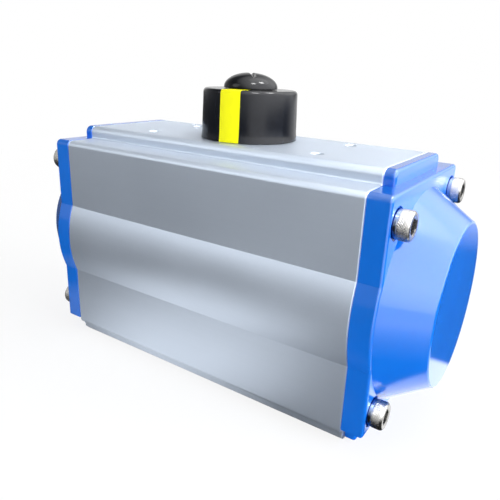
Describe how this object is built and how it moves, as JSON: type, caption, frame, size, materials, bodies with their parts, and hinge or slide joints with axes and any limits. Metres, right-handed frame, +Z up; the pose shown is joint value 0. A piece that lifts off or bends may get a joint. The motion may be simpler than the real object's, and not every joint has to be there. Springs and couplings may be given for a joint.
{
  "type": "pneumatic valve actuator",
  "caption": "Double-acting quarter-turn pneumatic rack-and-pinion valve actuator, grey extruded body, blue domed end caps, yellow-striped black position indicator.",
  "frame": {"origin": "where the drive shaft's axis meets the flat bottom mounting face", "axes": "+Z up along the drive shaft towards the position indicator, X along the cylinder bore, +Y towards the solenoid pad and the stop screws, -Y the plain side that the picture shows"},
  "size_m": [0.1858, 0.0955, 0.1244],
  "materials": {
    "anodised_aluminium": "fine matt grey, hard anodised, extruded",
    "blue_paint": "glossy sky-blue powder coat over cast aluminium",
    "rubber_seal": "smooth black nitrile rubber",
    "stainless_steel": "bright stainless steel, knurled heads",
    "cast_aluminium": "die-cast, teeth machined",
    "guide_plastic": "natural acetal",
    "plated_steel": "nickel-plated alloy steel, satin",
    "spring_steel": "dark phosphated spring steel",
    "black_plastic": "moulded black, semi-gloss",
    "yellow_plastic": "moulded lemon yellow"
  },
  "bodies": {
    "housing": {"body": "anodised_aluminium", "end_cap_right": "blue_paint", "end_cap_left": "blue_paint", "end_cap_seal_right": "rubber_seal", "end_cap_seal_left": "rubber_seal", "end_cap_screws_right": "stainless_steel", "end_cap_screws_left": "stainless_steel", "stop_screw_washers": "stainless_steel", "stop_screw_nuts": "stainless_steel"},
    "drive": {"pinion": "plated_steel", "stop_cam": "plated_steel", "lower_pinion_bearing": "guide_plastic", "upper_pinion_bearing": "guide_plastic", "lower_pinion_seal": "rubber_seal", "upper_pinion_seal": "rubber_seal", "inner_thrust_washer": "guide_plastic", "outer_thrust_washer": "guide_plastic", "snap_ring_washer": "stainless_steel", "snap_ring": "spring_steel", "position_indicator": "black_plastic", "indicator_stripe": "yellow_plastic", "indicator_screw": "black_plastic"},
    "piston_right": {"piston_right": "cast_aluminium", "piston_band_right": "guide_plastic", "piston_seal_right": "rubber_seal", "piston_back_pad_right": "guide_plastic"},
    "piston_left": {"piston_left": "cast_aluminium", "piston_band_left": "guide_plastic", "piston_seal_left": "rubber_seal", "piston_back_pad_left": "guide_plastic"},
    "stop_screw_right": {"stop_screw_right": "stainless_steel"},
    "stop_screw_left": {"stop_screw_left": "stainless_steel"}
  },
  "joints": [
    {"name": "drive_turn", "type": "hinge", "parent": "housing", "child": "drive", "pos_m": [0, 0, 0], "axis": [0, 0, 1], "range_deg": [-10, 80]},
    {"name": "piston_right_stroke", "type": "slide", "parent": "housing", "child": "piston_right", "axis": [1, 0, 0], "range_m": [-0.00183, 0.01466]},
    {"name": "piston_left_stroke", "type": "slide", "parent": "housing", "child": "piston_left", "axis": [-1, 0, 0], "range_m": [-0.00183, 0.01466]},
    {"name": "stop_screw_right_set", "type": "slide", "parent": "housing", "child": "stop_screw_right", "axis": [0, 1, 0], "range_m": [0, 0.0014]},
    {"name": "stop_screw_left_set", "type": "slide", "parent": "housing", "child": "stop_screw_left", "axis": [0, 1, 0], "range_m": [0, 0.0014]}
  ],
  "couplings": [
    {"joint": "drive_turn", "follows": "piston_right_stroke", "rad_per_m": 95.238},
    {"joint": "piston_left_stroke", "follows": "piston_right_stroke", "ratio": 1}
  ]
}
